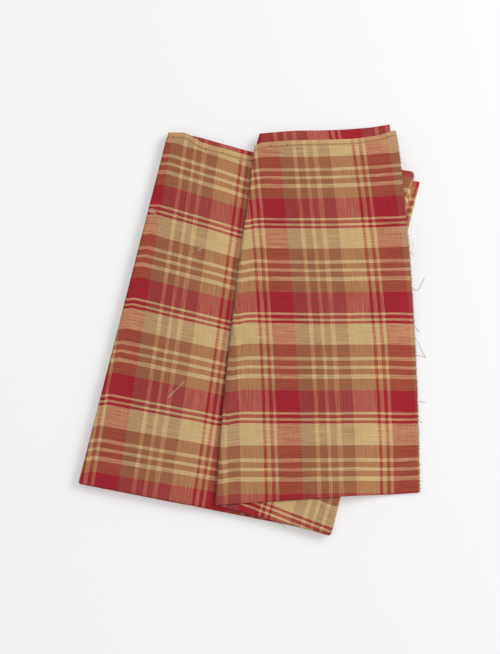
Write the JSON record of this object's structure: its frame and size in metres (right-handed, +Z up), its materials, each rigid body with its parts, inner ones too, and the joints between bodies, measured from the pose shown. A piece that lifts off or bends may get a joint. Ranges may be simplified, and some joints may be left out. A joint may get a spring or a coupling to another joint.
{
  "type": "folded length of plaid cotton fabric",
  "caption": "Length of plaid cotton homespun folded into a strip and zigzagged into flat leaves, fanned out; its upper leaves open like pages.",
  "frame": {"origin": "centre of the bounding box in plan, on the surface that the cloth lies on", "axes": "+Y towards the head of the folded cloth, +Z up out of the surface, +X to the right with the head away from the viewer"},
  "size_m": [0.2592, 0.3222, 0.0092],
  "materials": {
    "front_half_cotton": "matt yarn-dyed plain weave, crimson, tan and brown plaid",
    "back_half_cotton": "matt yarn-dyed plain weave, crimson, tan and brown plaid, the other half of the same cloth"
  },
  "bodies": {
    "lower_leaves": {"leaf_1_lower": "front_half_cotton", "leaf_1_upper": "back_half_cotton", "leaf_2_lower": "back_half_cotton", "leaf_2_upper": "front_half_cotton", "leaf_3_lower": "front_half_cotton", "leaf_3_upper": "back_half_cotton"},
    "upper_leaves": {"leaf_4_lower": "back_half_cotton", "leaf_4_upper": "front_half_cotton", "leaf_5_lower": "front_half_cotton", "leaf_5_upper": "back_half_cotton"},
    "top_leaf": {"leaf_6_lower": "back_half_cotton", "leaf_6_upper": "front_half_cotton"}
  },
  "joints": [
    {"name": "open_upper_leaves", "type": "hinge", "parent": "lower_leaves", "child": "upper_leaves", "pos_m": [-0.12956, -0.12148, 0.00555], "axis": [-0.2309, -0.973, 0], "range_deg": [0, 90]},
    {"name": "open_top_leaf", "type": "hinge", "parent": "upper_leaves", "child": "top_leaf", "pos_m": [-0.02626, -0.13838, 0.00745], "axis": [-0.1002, -0.995, 0], "range_deg": [0, 172]}
  ]
}
